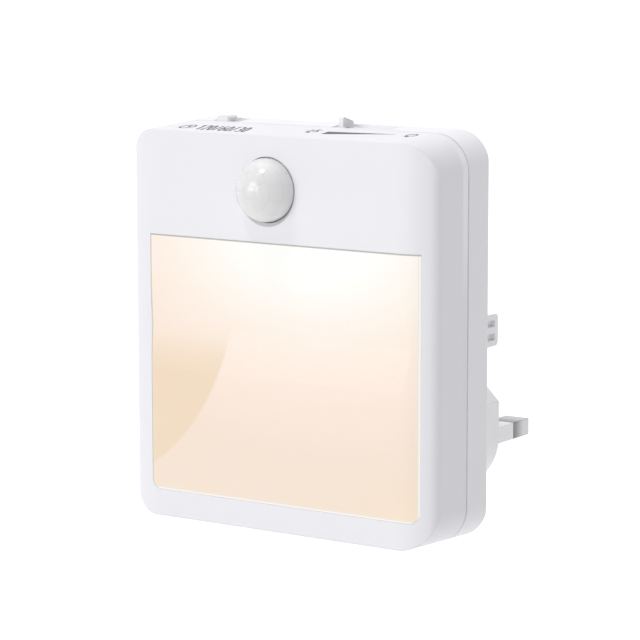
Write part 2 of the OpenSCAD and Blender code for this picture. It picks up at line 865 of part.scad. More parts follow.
module smoothing_capacitor() in_case() color([0.15, 0.2, 0.35]) {
    seal_r = can_r - 0.3;
    seal_l = 0.8;
    on_board(can_at) translate([0, can_r, 0]) rotate([0, 90, 0]) {
        cylinder(r = can_r, h = can_l);
        cylinder(r = seal_r, h = can_l + seal_l);
    }
}

module bridge_rectifier() in_case() color([0.13, 0.13, 0.14]) {
    on_board(bridge_at) cube(bridge_size);
}

module fusible_resistor() in_case() color([0.35, 0.55, 0.6]) {
    lift = 0.4;
    lead_r = 0.35;
    foot = 2 * lead_r;
    on_board(resistor_at) translate([0, resistor_r + lift, 0]) {
        cylinder(r = resistor_r, h = resistor_l);
        translate([0, 0, -resistor_lead]) cylinder(r = lead_r, h = resistor_l + 2 * resistor_lead);
        for (z = [-resistor_lead, resistor_l + resistor_lead - foot]) {
            translate([-lead_r, -resistor_r - lift, z]) cube([foot, resistor_r + lift + 0.3, foot]);
        }
    }
}

module varistor() in_case() color([0.1, 0.25, 0.6]) {
    lift = 0.8;
    leg_r = 0.3;
    on_board(varistor_at) {
        translate([0, varistor_r + lift, 0]) rotate([0, 90, 0]) cylinder(r = varistor_r, h = varistor_t);
        for (z = [-1, 1]) bar_y(varistor_t / 2, z * 2.5, leg_r, 0, varistor_r);
    }
}

module inductor() in_case() color([0.7, 0.4, 0.2]) {
    rim = 1;
    on_board(inductor_at) {
        bar_y(0, 0, inductor_r, 0, rim);
        bar_y(0, 0, inductor_r - 0.8, 0, inductor_h);
        bar_y(0, 0, inductor_r, inductor_h - rim, inductor_h);
    }
}

module regulator() in_case() color([0.13, 0.13, 0.14]) {
    on_board(regulator_at) cube(regulator_size);
}

module control_chip() in_case() color([0.13, 0.13, 0.14]) {
    pin_step = chip_size[0] / chip_pins;
    lead_w = 0.4;
    lead_l = 1.5;
    reach = 1;
    on_board(chip_at) {
        translate([0, 0.2, 0]) cube(chip_size);
        for (i = [0:chip_pins - 1], z = [-reach, chip_size[2] + reach - lead_l]) {
            translate([(i + 0.5) * pin_step - lead_w / 2, 0, z]) cube([lead_w, 0.9, lead_l]);
        }
    }
}

module board_screws() in_case() color([0.7, 0.7, 0.72]) {
    for (x = [-1, 1]) {
        bar_y(x * standoff_x, standoff_z, board_screw_r, board_screw_tip, board_back + 0.5);
        bar_y(x * standoff_x, standoff_z, 2 * board_screw_r, board_back, board_back + 1.2);
    }
}

module case_screws() in_case() color([0.75, 0.75, 0.77]) {
    cross_l = 2.4;
    cross_w = 0.6;
    for (p = POSTS) difference() {
        union() {
            bar_y(p[0], p[1], screw_r, screw_tip, head_y + 0.5);
            bar_y(p[0], p[1], head_r, head_y, head_y + head_h);
        }
        translate([p[0], head_y + head_h, p[1]]) {
            cube([cross_l, 1.2, cross_w], center = true);
            cube([cross_w, 1.2, cross_l], center = true);
        }
    }
}

// Outline of the plug base about the pins' middle line, drawn in by inset
module base_outline(inset) {
    w = base_w / 2 - inset;
    n = neck_w / 2 - inset;
    r = base_corner_r - inset;
    low = -base_drop + inset;
    // The sloped shoulders stay parallel, so their ends shift by this share of the inset
    slip = (sqrt(2) - 1) * inset;
    polygon([[-w, low + r], [w, low + r], [w, shoulder_z - slip], [n, shoulder_z + shoulder_run - slip],
             [-n, shoulder_z + shoulder_run - slip], [-w, shoulder_z - slip]]);
    translate([-w + r, low]) square([2 * (w - r), r + past]);
    for (x = [-1, 1]) translate([x * (w - r), low + r]) circle(r = r, $fn = 96);
    top = base_rise - inset;
    translate([0, (top + shoulder_z) / 2]) round_rect(2 * n, top - shoulder_z, neck_r);
}

// A rectangular hole or bar along Y about a pin's middle
module pin_bar(w, h, y0, y1) {
    span([-w / 2, y0, -h / 2], [w / 2, y1, h / 2]);
}

module plug_base() in_case() color([0.93, 0.93, 0.94]) at_plug() {
    difference() {
        union() {
            along_y(body_d, face_y - rim_h) base_outline(0);
            along_y(body_d, face_y) base_outline(rim_step);
            pin_bar(spigot_w, spigot_h, spigot_front, body_d + past);
        }
        for (x = [-1, 1]) translate([x * pin_pitch, 0, 0]) {
            pin_bar(core_w, core_t, spigot_front - past, face_y + past);
            pin_bar(pin_w, pin_t, face_y - sleeve_seat, face_y + past);
        }
        translate([0, 0, earth_pitch]) pin_bar(earth_w + 2 * fit_gap, earth_h + 2 * fit_gap,
                                               body_d - past, face_y + past);
        for (z = PLUG_SCREWS) {
            bar_y(0, z, plug_screw_r + screw_gap, body_d - past, back_in + plug_screw_l + 0.4);
        }
    }
}

module plug_screws() in_case() color([0.75, 0.75, 0.77]) at_plug() {
    for (z = PLUG_SCREWS) {
        bar_y(0, z, plug_head_r, back_in - plug_head_h, back_in);
        bar_y(0, z, plug_screw_r, back_in - 0.5, back_in + plug_screw_l);
    }
}

// A flat pin: tail, collar, a core inside the sleeve, and the bare blade with a round tip
module flat_pin(x) {
    blade_y = face_y + sleeve_l;
    tip_y = face_y + pin_l;
    translate([x, 0, 0]) {
        pin_bar(tail_w, tail_t, spigot_front - collar_t - tail_l, spigot_front);
        pin_bar(pin_w + 2 * collar_over, pin_t + 2 * collar_over, spigot_front - collar_t, spigot_front);
        pin_bar(core_w, core_t, spigot_front - past, blade_y + past);
        intersection() {
            pin_bar(pin_w, pin_t, blade_y, tip_y);
            translate([0, blade_y, 0]) linear_extrude(pin_t, center = true) {
                square([pin_w, 2 * (pin_l - sleeve_l - tip_r)], center = true);
                square([pin_w - 2 * tip_r, 2 * (pin_l - sleeve_l)], center = true);
                for (s = [-1, 1]) {
                    translate([s * (pin_w / 2 - tip_r), pin_l - sleeve_l - tip_r]) circle(r = tip_r);
                }
            }
            translate([-pin_w / 2, blade_y, 0]) rotate([90, 0, 90]) linear_extrude(pin_w) {
                square([2 * (pin_l - sleeve_l - tip_r), pin_t], center = true);
                square([2 * (pin_l - sleeve_l), pin_t - 2 * tip_r], center = true);
                for (s = [-1, 1]) {
                    translate([pin_l - sleeve_l - tip_r, s * (pin_t / 2 - tip_r)]) circle(r = tip_r);
                }
            }
        }
    }
}

// The sleeve on a flat pin
module pin_sleeve(x) {
    translate([x, 0, 0]) difference() {
        pin_bar(pin_w, pin_t, face_y - sleeve_seat, face_y + sleeve_l);
        pin_bar(core_w, core_t, face_y - sleeve_seat - past, face_y + sleeve_l + past);
    }
}

// The strip that joins a flat pin's tail to the main board
module pin_contact(x) {
    tail_end = spigot_front - collar_t - tail_l;
    translate([x, 0, 0]) {
        span([-contact_w / 2, board_back, tail_t / 2],
             [contact_w / 2, tail_end + 0.8 * tail_l, tail_t / 2 + contact_t]);
        span([-contact_w / 2, board_back, tail_t / 2],
             [contact_w / 2, board_back + contact_t, tail_t / 2 + contact_foot]);
    }
}

module line_pin() in_case() color([0.78, 0.78, 0.8]) at_plug() flat_pin(pin_pitch);

module neutral_pin() in_case() color([0.78, 0.78, 0.8]) at_plug() flat_pin(-pin_pitch);

module line_sleeve() in_case() color([0.9, 0.9, 0.92]) at_plug() pin_sleeve(pin_pitch);

module neutral_sleeve() in_case() color([0.9, 0.9, 0.92]) at_plug() pin_sleeve(-pin_pitch);

module line_contact() in_case() color([0.8, 0.65, 0.35]) at_plug() pin_contact(pin_pitch);

module neutral_contact() in_case() color([0.8, 0.65, 0.35]) at_plug() pin_contact(-pin_pitch);

module earth_pin() in_case() color([0.9, 0.9, 0.92]) at_plug() {
    tip_y = face_y + earth_l;
    plain_tip = 1.5;
    translate([0, 0, earth_pitch]) difference() {
        union() {
            pin_bar(earth_w + 2 * earth_flange_over, earth_h + 2 * earth_flange_over,
                    back_in - earth_flange_t, back_in);
            intersection() {
                pin_bar(earth_w, earth_h, back_in - past, tip_y);
                translate([-earth_w / 2, back_in - past, 0]) rotate([90, 0, 90]) linear_extrude(earth_w) {
                    length = tip_y - back_in + past;
                    square([2 * (length - tip_r), earth_h], center = true);
                    square([2 * length, earth_h - 2 * tip_r], center = true);
                    for (s = [-1, 1]) {
                        translate([length - tip_r, s * (earth_h / 2 - tip_r)]) circle(r = tip_r);
                    }
                }
            }
        }
        for (x = [-1, 1], z = [-1, 1]) {
            translate([x * earth_w / 2, 0, z * groove_w]) {
                pin_bar(2 * groove_d, groove_w, face_y + 1, tip_y - plain_tip);
            }
        }
    }
}

front_shell();
back_shell();
diffuser();
reflector_frame();
main_board();
led_chips();
pir_lens();
lens_ring();
pir_sensor();
sensor_spacer();
dusk_sensor();
control_board();
control_board_screws();
timer_switch();
timer_slider();
timer_knob();
brightness_pot();
brightness_wiper();
brightness_knob();
link_header();
film_capacitor();
smoothing_capacitor();
bridge_rectifier();
fusible_resistor();
varistor();
inductor();
regulator();
control_chip();
board_screws();
case_screws();
plug_base();
plug_screws();
line_pin();
neutral_pin();
line_sleeve();
neutral_sleeve();
earth_pin();
line_contact();
neutral_contact();
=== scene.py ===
import math

import bmesh
import bpy
from mathutils import Matrix, Vector


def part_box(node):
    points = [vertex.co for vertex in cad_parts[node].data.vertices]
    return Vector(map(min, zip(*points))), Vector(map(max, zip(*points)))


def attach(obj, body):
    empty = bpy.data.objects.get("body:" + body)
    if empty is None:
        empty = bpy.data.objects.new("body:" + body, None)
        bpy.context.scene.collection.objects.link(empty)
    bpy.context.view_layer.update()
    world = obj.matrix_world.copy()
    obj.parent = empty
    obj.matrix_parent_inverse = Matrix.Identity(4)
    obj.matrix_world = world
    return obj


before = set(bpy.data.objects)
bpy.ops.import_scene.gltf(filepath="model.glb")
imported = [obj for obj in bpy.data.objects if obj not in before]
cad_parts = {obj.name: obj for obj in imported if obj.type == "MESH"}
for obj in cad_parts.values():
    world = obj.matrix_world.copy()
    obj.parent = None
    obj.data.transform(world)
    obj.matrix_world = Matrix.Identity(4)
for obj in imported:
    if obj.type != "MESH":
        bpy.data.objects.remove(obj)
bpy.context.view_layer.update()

MM = 0.001
front_low, front_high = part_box("front_shell")
back_low, back_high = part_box("back_shell")

# Middle of the case's front face. Lengths below are millimetres from here unless they say otherwise.
CASE = Vector(((back_low.x + back_high.x) / 2, front_low.y, (back_low.z + back_high.z) / 2))


def at(x, y, z):
    """A point given in millimetres about the case, in the frame's metres."""
    return CASE + MM * Vector((x, y, z))


def about_case(point):
    """A point in the frame's metres, in millimetres about the case."""
    return (point - CASE) / MM


def srgb(red, green, blue):
    """A colour given as a screen shows it, from 0 to 255, as the shader wants it."""
    def linear(value):
        value /= 255
        return value / 12.92 if value <= 0.04045 else ((value + 0.055) / 1.055) ** 2.4
    return (linear(red), linear(green), linear(blue), 1.0)


def shade(colour, factor):
    """A colour made lighter or darker."""
    return (*(min(channel * factor, 1) for channel in colour[:3]), 1.0)


# Materials

SOCKETS = {
    "metallic": "Metallic",
    "ior": "IOR",
    "specular": "Specular IOR Level",
    "coat": "Coat Weight",
    "coat_roughness": "Coat Roughness",
    "transmission": "Transmission Weight",
    "glow": "Emission Strength",
}


class Look:
    """A Principled material and the nodes that feed it, with coordinates in millimetres about the case."""

    def __init__(self, name, colour, roughness, **numbers):
        self.material = bpy.data.materials.new(name)
        self.material.use_nodes = True
        self.tree = self.material.node_tree
        self.shader = self.tree.nodes["Principled BSDF"]
        self.feed("Base Color", colour)
        self.feed("Roughness", roughness)
        for word, value in numbers.items():
            self.feed(SOCKETS[word], value)
        place = self.add("ShaderNodeTexCoord").outputs["Object"]
        self.place = self.add("ShaderNodeMapping", {
            "Vector": place, "Location": -CASE / MM, "Scale": (1 / MM,) * 3}).outputs["Vector"]

    def put(self, socket, value):
        """Links an output to a socket, or sets the socket's own value."""
        if isinstance(value, bpy.types.NodeSocket):
            self.tree.links.new(value, socket)
        else:
            socket.default_value = value

    def add(self, kind, inputs=None, **settings):
        """A new node with its settings and inputs."""
        made = self.tree.nodes.new(kind)
        for name, value in settings.items():
            setattr(made, name, value)
        for key, value in (inputs or {}).items():
            self.put(made.inputs[key], value)
        return made

    def feed(self, name, value):
        """Sets or links one of the shader's own inputs."""
        self.put(self.shader.inputs[name], value)

    def math(self, operation, *values):
        """The result of one operation on outputs or numbers."""
        return self.add("ShaderNodeMath", dict(enumerate(values)), operation=operation).outputs[0]

    def stretched(self, scale, turn=(0, 0, 0)):
        """The coordinates, scaled and turned."""
        made = self.add("ShaderNodeMapping", {"Vector": self.place, "Scale": scale, "Rotation": turn})
        return made.outputs["Vector"]

    def noise(self, size, detail, place=None, rough=0.5):
        """Noise whose features are about size millimetres across."""
        made = self.add("ShaderNodeTexNoise", {
            "Vector": place or self.place, "Scale": 1 / size, "Detail": detail, "Roughness": rough})
        return made.outputs[0]

    def span(self, value, low, high, start, end, smooth=False):
        """Maps value, as it goes from start to end, to low and then high."""
        made = self.add("ShaderNodeMapRange", {
            "Value": value, "From Min": start, "From Max": end, "To Min": low, "To Max": high})
        made.interpolation_type = "SMOOTHSTEP" if smooth else "LINEAR"
        return made.outputs["Result"]

    def blend(self, factor, first, second):
        """A colour between two colours."""
        made = self.add("ShaderNodeMix", {0: factor, 6: first, 7: second}, data_type="RGBA")
        return made.outputs[2]

    def ramp(self, value, stops):
        """A colour ramp from pairs of place and colour."""
        made = self.add("ShaderNodeValToRGB", {"Fac": value})
        elements = made.color_ramp.elements
        while len(elements) < len(stops):
            elements.new(1.0)
        for element, (place, colour) in zip(elements, stops):
            element.position = place
            element.color = colour
        return made.outputs["Color"]

    def bevel(self, radius):
        """A normal that rounds sharp edges by radius millimetres."""
        return self.add("ShaderNodeBevel", {"Radius": radius * MM}, samples=6).outputs["Normal"]

    def bump(self, height, depth, normal=None):
        """A normal pushed by a height of up to depth millimetres."""
        inputs = {"Height": height, "Distance": depth * MM, "Strength": 1.0}
        if normal is not None:
            inputs["Normal"] = normal
        return self.add("ShaderNodeBump", inputs).outputs["Normal"]

    def axes(self, middle=(0, 0, 0)):
        """The three coordinates about a point in millimetres about the case."""
        offset = self.add("ShaderNodeVectorMath", {0: self.place, 1: middle}, operation="SUBTRACT")
        return self.add("ShaderNodeSeparateXYZ", {0: offset.outputs[0]}).outputs


# Specular level of satin plastic, the values between which noise mostly lies, and for each kind of
# material the sizes of its noise and the depths of its bumps in millimetres
SATIN = 0.3
NOISE_SPAN = (0.3, 0.7)
CLOUD_SIZE = 24
WAVE_SIZE = 6
GRAIN_DEPTH = 0.004
SPOT_SIZE = 1.6
SCRATCH_SIZE = 0.35
SCRATCH_DEPTH = 0.002
SPECKLE_SIZE = 0.8
TRACK_DEPTH = 0.03
BOARD_ROUGHNESS = 0.3
RESIN_DEPTH = 0.01
RESIN_EDGE = 0.15


def plastic(name, colour, roughness, mottle=0.012, grain=0.3, edge=0.25, tint=None, **numbers):
    """Moulded plastic: faint clouding, a fine grain and softened edges.

    Where tint is given, it takes the look and its clouded colour and returns the colour to use."""
    look = Look(name, colour, roughness, **{"specular": SATIN, **numbers})
    cloud = look.noise(CLOUD_SIZE, detail=3)
    clouded = look.blend(cloud, shade(colour, 1 - mottle), shade(colour, 1 + mottle))
    look.feed("Base Color", tint(look, clouded) if tint else clouded)
    fine = look.noise(grain, detail=3)
    wide = look.noise(WAVE_SIZE, detail=2)
    mixed = look.math("ADD", look.math("MULTIPLY", fine, 0.5), look.math("MULTIPLY", wide, 0.5))
    look.feed("Roughness", look.span(mixed, roughness - 0.06, roughness + 0.06, *NOISE_SPAN))
    look.feed("Normal", look.bump(fine, GRAIN_DEPTH, look.bevel(edge)))
    return look.material


def metal(name, colour, roughness, along, edge=0.2, tint=None):
    """Plated metal: fine drawing marks along one axis, dull spots and softened edges.

    Where tint is given, it takes the look and its spotted colour and returns the colour to use."""
    look = Look(name, colour, roughness, metallic=1.0)
    marks = look.noise(SCRATCH_SIZE, detail=4, place=look.stretched(along))
    spots = look.noise(SPOT_SIZE, detail=3)
    spotted = look.blend(spots, shade(colour, 0.93), shade(colour, 1.05))
    look.feed("Base Color", tint(look, spotted) if tint else spotted)
    worn = look.math("ADD", look.math("MULTIPLY", marks, 0.6), look.math("MULTIPLY", spots, 0.4))
    look.feed("Roughness", look.span(worn, roughness - 0.09, roughness + 0.13, *NOISE_SPAN))
    look.feed("Normal", look.bump(marks, SCRATCH_DEPTH, look.bevel(edge)))
    return look.material


def board(name, mask, trace):
    """A circuit board: glossy mask over raised tracks."""
    look = Look(name, mask, BOARD_ROUGHNESS, coat=0.4)
    flat = look.stretched((1, 1, 1), (math.pi / 2, 0, 0))
    tracks = look.add("ShaderNodeTexBrick", {
        "Vector": flat, "Scale": 1.0, "Mortar Size": 0.35, "Mortar Smooth": 0.2,
        "Brick Width": 7.0, "Row Height": 2.6}).outputs["Fac"]
    speckle = look.noise(SPECKLE_SIZE, detail=3)
    tinted = look.blend(speckle, shade(mask, 0.94), shade(mask, 1.05))
    look.feed("Base Color", look.blend(look.math("MULTIPLY", tracks, 0.6), tinted, trace))
    look.feed("Roughness", look.span(speckle, BOARD_ROUGHNESS - 0.07, BOARD_ROUGHNESS + 0.07, *NOISE_SPAN))
    look.feed("Normal", look.bump(tracks, TRACK_DEPTH))
    return look.material


def resin(name, colour, roughness=0.5, speck=0.35, contrast=0.25):
    """Moulded resin, ferrite or ink: grainy and dark."""
    look = Look(name, colour, roughness)
    grains = look.noise(speck, detail=4, rough=0.6)
    look.feed("Base Color", look.blend(grains, shade(colour, 1 - contrast), shade(colour, 1 + contrast)))
    look.feed("Roughness", look.span(grains, roughness - 0.1, roughness + 0.1, *NOISE_SPAN))
    look.feed("Normal", look.bump(grains, RESIN_DEPTH, look.bevel(RESIN_EDGE)))
    return look.material


# The lit window: brightest at one spot, warmer with distance, and darker inside a round reflection
GLOW_MIDDLE = (10.0, 26.0)
GLOW_REACH = (60.0, 40.0)
GLOW_FAR = 1.35
GLOW_STOPS = [
    (0.22, srgb(255, 255, 252)),
    (0.36, srgb(254, 248, 240)),
    (0.55, srgb(252, 238, 225)),
    (0.78, srgb(250, 231, 217)),
    (1.0, srgb(245, 226, 210)),
]
DISC_MIDDLE = (-67.8, 11.5)
DISC_R = 56.1
DISC_SOFT = 0.5
DISC_FADE = (3.0, -12.0)
DISC_COLOUR = srgb(240, 218, 191)
CORNER_COLOUR = srgb(246, 227, 206)
CORNER_ACROSS = (12, 38)
CORNER_DOWN = (-22, -40)
WINDOW_CLOUD_SIZE = 9
WINDOW_MOTTLE = 0.05
WINDOW_GRAIN = 0.5
WINDOW_DEPTH = 0.002
WINDOW_EDGE = 0.15
GLOW_SHARE = 0.5
DAY_SHARE = 0.5
# How far the window's flange goes under the shell above and below, and its rims of painted light: a thin
# painted shade line and a painted highlight at the right and below, and painted shade at the left and
# above.
# Each fades over a span of widths.
FLANGE_REACH = 1.5
RIM_W = 0.27
RIM_SHADE_LINE = srgb(240, 235, 227)
RIM_SHADE_LINE_SPAN = (1.6, 2.4)
RIM_HIGHLIGHT = srgb(252, 250, 244)
RIM_HIGHLIGHT_SPAN = (1.0, 1.4)
RIM_LEFT_SHADE = srgb(228, 218, 205)
RIM_TOP_SHADE = srgb(194, 191, 186)
RIM_SHADE_SPAN = (0.6, 1.2)


def distance(look, x, z, middle, reach=(1, 1)):
    """Distance from a point in the plane of the front, each axis divided by its reach."""
    across = look.math("DIVIDE", look.math("SUBTRACT", x, middle[0]), reach[0])
    up = look.math("DIVIDE", look.math("SUBTRACT", z, middle[1]), reach[1])
    squares = look.math("ADD", look.math("MULTIPLY", across, across), look.math("MULTIPLY", up, up))
    return look.math("SQRT", squares)


def lit_window(name):
    """The diffuser as it looks with the light on."""
    low, high = (about_case(corner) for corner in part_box("diffuser"))
    look = Look(name, srgb(250, 240, 226), 0.32, glow=GLOW_SHARE, specular=SATIN)
    x, _, z = look.axes()
    far = distance(look, x, z, GLOW_MIDDLE, GLOW_REACH)
    colour = look.ramp(look.math("DIVIDE", far, GLOW_FAR), GLOW_STOPS)
    across, down = look.span(x, 0, 1, *CORNER_ACROSS, True), look.span(z, 0, 1, *CORNER_DOWN, True)
    colour = look.blend(look.math("MULTIPLY", across, down), colour, CORNER_COLOUR)
    from_disc = distance(look, x, z, DISC_MIDDLE)
    inside = look.span(from_disc, 1, 0, DISC_R - DISC_SOFT, DISC_R + DISC_SOFT, True)
    tint = look.math("MULTIPLY", inside, look.span(z, 0, 1, *DISC_FADE, True))
    colour = look.blend(tint, colour, DISC_COLOUR)
    mottle = look.math("MULTIPLY", look.noise(WINDOW_CLOUD_SIZE, detail=2), WINDOW_MOTTLE)
    colour = look.blend(mottle, colour, srgb(255, 255, 255))
    right = look.math("SUBTRACT", high.x, x)
    left = look.math("SUBTRACT", x, low.x)
    bottom = look.math("SUBTRACT", z, low.z + FLANGE_REACH)
    top = look.math("SUBTRACT", high.z - FLANGE_REACH, z)
    near = look.math("MINIMUM", right, bottom)
    # Painted shade line and painted highlight at the right and below, painted shade at the left and above
    rims = [(near, RIM_SHADE_LINE_SPAN, RIM_SHADE_LINE), (near, RIM_HIGHLIGHT_SPAN, RIM_HIGHLIGHT)]
    rims += [(left, RIM_SHADE_SPAN, RIM_LEFT_SHADE), (top, RIM_SHADE_SPAN, RIM_TOP_SHADE)]
    for from_edge, (start, end), tone in rims:
        colour = look.blend(look.span(from_edge, 1, 0, start * RIM_W, end * RIM_W, True), colour, tone)
    look.feed("Emission Color", colour)
    look.feed("Base Color", look.blend(DAY_SHARE, srgb(0, 0, 0), colour))
    fine = look.noise(WINDOW_GRAIN, detail=2)
    look.feed("Roughness", look.span(fine, 0.26, 0.38, *NOISE_SPAN))
    look.feed("Normal", look.bump(fine, WINDOW_DEPTH, look.bevel(WINDOW_EDGE)))
    return look.material


# Tints of painted light: a painted highlight before the seam, which comes and goes between heights, a
# painted shadow under the dome, and pins that brighten to their tips from painted shade at their sleeves.
# The shadow is a circle as wide as the dome's hole, moved a little, of which a crescent shows.
SEAM_HIGHLIGHT_REACH = 2.3
SEAM_HIGHLIGHT_SOFT = 0.69
SEAM_HIGHLIGHT_LOW = (5.0, 30.0)
SEAM_HIGHLIGHT_HIGH = (42.0, 48.0)
SEAM_HIGHLIGHT_COLOUR = srgb(250, 250, 254)
UNDER_SHIFT = (-0.3, -1.0)
UNDER_R = 7.8
UNDER_SOFT = 0.2
DOME_SHADOW_COLOUR = srgb(192, 192, 196)
PIN_ROOT_SHADE = srgb(112, 112, 116)


def shell_tint(look, clouded):
    """The front shell's colour, with a painted highlight before the seam and a painted shadow just under
    the sensor dome.
    """
    x, y, z = look.axes()
    seam = about_case(front_high).y
    # Painted highlight: a lighter band on the shell just before the seam, only between two heights
    start = seam - SEAM_HIGHLIGHT_REACH
    at_seam = look.span(y, 0, 1, start - SEAM_HIGHLIGHT_SOFT, start + SEAM_HIGHLIGHT_SOFT, True)
    upper = look.math("MULTIPLY", look.span(z, 0, 1, *SEAM_HIGHLIGHT_LOW, True), look.span(z, 1, 0, *SEAM_HIGHLIGHT_HIGH, True))
    highlighted = look.blend(look.math("MULTIPLY", at_seam, upper), clouded, SEAM_HIGHLIGHT_COLOUR)
    # Painted shadow: a soft crescent, darker than the shell, just under the sensor dome
    low, high = (about_case(corner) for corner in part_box("pir_lens"))
    middle = ((low.x + high.x) / 2 + UNDER_SHIFT[0], (low.z + high.z) / 2 + UNDER_SHIFT[1])
    under = look.span(distance(look, x, z, middle), 1, 0, UNDER_R - UNDER_SOFT, UNDER_R + UNDER_SOFT, True)
    return look.blend(under, highlighted, DOME_SHADOW_COLOUR)


def pin_tint(look, spotted):
    """The pins' colour, darker with painted shade where the metal leaves its sleeve."""
    sleeve_end = about_case(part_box("line_sleeve")[1]).y
    tip = about_case(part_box("line_pin")[1]).y
    out = look.span(look.axes()[1], 0, 1, sleeve_end, (sleeve_end + 2 * tip) / 3, True)
    return look.blend(out, PIN_ROOT_SHADE, spotted)


# The lens: rings of cells, each a shallow bulge with a fine groove round it. A ring spans an angle.
LENS_RING = math.radians(26)
LENS_CELLS = 5
LENS_BULGE = 0.12
LENS_GROOVE = 0.02
LENS_GROOVE_SPAN = (0.45, 0.5)
LENS_CLOUD_SIZE = 3.5


def faceted_lens(name, colour):
    """Milky plastic whose dome is divided into cells in rings about its middle."""
    low, high = (about_case(corner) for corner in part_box("pir_lens"))
    look = Look(name, colour, 0.16, transmission=0.22, ior=1.45, coat=0.4, coat_roughness=0.08)
    x, y, z = look.axes(((low.x + high.x) / 2, 0, (low.z + high.z) / 2))
    off_axis = look.math("SQRT", look.math("ADD", look.math("MULTIPLY", x, x), look.math("MULTIPLY", z, z)))
    polar = look.math("ARCTAN2", off_axis, look.math("MULTIPLY", y, -1))
    turn = look.math("DIVIDE", look.math("ARCTAN2", z, x), 2 * math.pi)
    rings = look.math("ADD", look.math("DIVIDE", polar, LENS_RING), 0.5)
    ring = look.math("FLOOR", rings)
    along = look.math("SUBTRACT", look.math("FRACT", rings), 0.5)
    cells = look.math("MULTIPLY", turn, look.math("MULTIPLY", ring, LENS_CELLS))
    across = look.math("SUBTRACT", look.math("FRACT", look.math("ADD", cells, 0.5)), 0.5)
    bulge = look.math("ADD", look.math("MULTIPLY", across, across), look.math("MULTIPLY", along, along))
    edge = look.math("MAXIMUM", look.math("ABSOLUTE", across), look.math("ABSOLUTE", along))
    groove = look.span(edge, 0, 1, *LENS_GROOVE_SPAN, True)
    cloud = look.noise(LENS_CLOUD_SIZE, detail=2)
    tinted = look.blend(cloud, shade(colour, 0.98), shade(colour, 1.02))
    # The grooves between cells are darkened with painted shade
    look.feed("Base Color", look.blend(look.math("MULTIPLY", groove, 0.3), tinted, shade(colour, 0.85)))
    look.feed("Roughness", look.span(cloud, 0.12, 0.2, *NOISE_SPAN))
    shaped = look.bump(look.math("MULTIPLY", bulge, -1), LENS_BULGE)
    look.feed("Normal", look.bump(groove, -LENS_GROOVE, shaped))
    return look.material


NODE_LOOKS = {
    "front_shell": plastic("case_front", srgb(238, 238, 243), 0.4, tint=shell_tint),
    "back_shell": plastic("case_back", srgb(243, 243, 247), 0.42),
    "plug_base": plastic("plug_plastic", srgb(250, 250, 252), 0.4),
    "diffuser": lit_window("diffuser"),
    "pir_lens": faceted_lens("lens", srgb(250, 250, 251)),
    "timer_knob": plastic("knob_timer", srgb(243, 243, 245), 0.4, grain=0.2),
    "brightness_knob": plastic("knob_white", srgb(240, 240, 243), 0.36, grain=0.2),
    "earth_pin": plastic("earth_plastic", srgb(247, 247, 250), 0.42, edge=0.15),
}
sleeve_look = plastic("sleeve_plastic", srgb(250, 250, 252), 0.36, edge=0.12)
pin_look = metal("pin_nickel", srgb(182, 182, 185), 0.24, along=(4, 0.3, 4), edge=0.5, tint=pin_tint)
zinc_look = metal("screw_zinc", srgb(188, 190, 194), 0.34, along=(1, 0.4, 1))
brass_look = metal("contact_brass", srgb(214, 178, 104), 0.3, along=(3, 0.3, 1))
tin_look = metal("switch_tin", srgb(200, 202, 205), 0.3, along=(0.3, 2, 2))
black_look = plastic("black_plastic", srgb(32, 32, 34), 0.5, mottle=0.1)
inner_look = plastic("inner_white", srgb(240, 240, 240), 0.45, mottle=0.01)
dark_look = resin("dark_resin", srgb(30, 30, 32))
blue_look = plastic("capacitor_sleeve", srgb(34, 48, 102), 0.25, mottle=0.06, coat=0.5)
SHARED_LOOKS = [
    (sleeve_look, ("line_sleeve", "neutral_sleeve")),
    (pin_look, ("line_pin", "neutral_pin")),
    (zinc_look, ("board_screws", "case_screws", "plug_screws", "control_board_screws")),
    (brass_look, ("line_contact", "neutral_contact")),
    (tin_look, ("timer_switch", "pir_sensor")),
    (black_look, ("sensor_spacer", "link_header", "brightness_wiper")),
    (inner_look, ("lens_ring", "reflector_frame", "timer_slider", "brightness_pot")),
    (dark_look, ("dusk_sensor", "bridge_rectifier", "regulator", "control_chip")),
    (blue_look, ("smoothing_capacitor", "varistor")),
    (board("board_white", srgb(236, 236, 230), srgb(222, 220, 210)), ("main_board",)),
    (board("board_green", srgb(26, 88, 48), srgb(52, 120, 70)), ("control_board",)),
    (plastic("led_resin", srgb(250, 214, 96), 0.25, mottle=0.06, coat=0.4), ("led_chips",)),
    (plastic("film_case", srgb(214, 178, 40), 0.28, mottle=0.04, coat=0.3), ("film_capacitor",)),
    (plastic("resistor_lacquer", srgb(112, 162, 170), 0.3, mottle=0.05, coat=0.3), ("fusible_resistor",)),
    (resin("ferrite", srgb(66, 60, 56), 0.55), ("inductor",)),
]


def dress(name, look):
    """Gives a CAD node its material."""
    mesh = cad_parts[name].data
    mesh.materials.clear()
    mesh.materials.append(look)


for name, look in NODE_LOOKS.items():
    dress(name, look)
for look, names in SHARED_LOOKS:
    for name in names:
        dress(name, look)


# The print on the top: a clock with its minutes, and a wedge from a bright bulb to a dim one

# Width of the printed lines, how far the ink stands out and reaches in, how much deeper than wide the
# signs are, and a height well above the case
LINE_W = 0.46
PRINT_RISE = 0.03
PRINT_SINK = 0.05
PRINT_DEEP = 1.7
WELL_ABOVE = 80
bpy.context.view_layer.update()


def top_height(y):
    """Height of the case's top at a depth, found on the front shell itself."""
    _, point, _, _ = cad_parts["front_shell"].ray_cast(at(0, y, WELL_ABOVE), Vector((0, 0, -1)))
    return about_case(point).z


TOP_NEAR, TOP_FAR = 3.0, 14.0
TOP_SLOPE = (top_height(TOP_FAR) - top_height(TOP_NEAR)) / (TOP_FAR - TOP_NEAR)
TOP_Z = top_height(TOP_NEAR) - TOP_SLOPE * TOP_NEAR


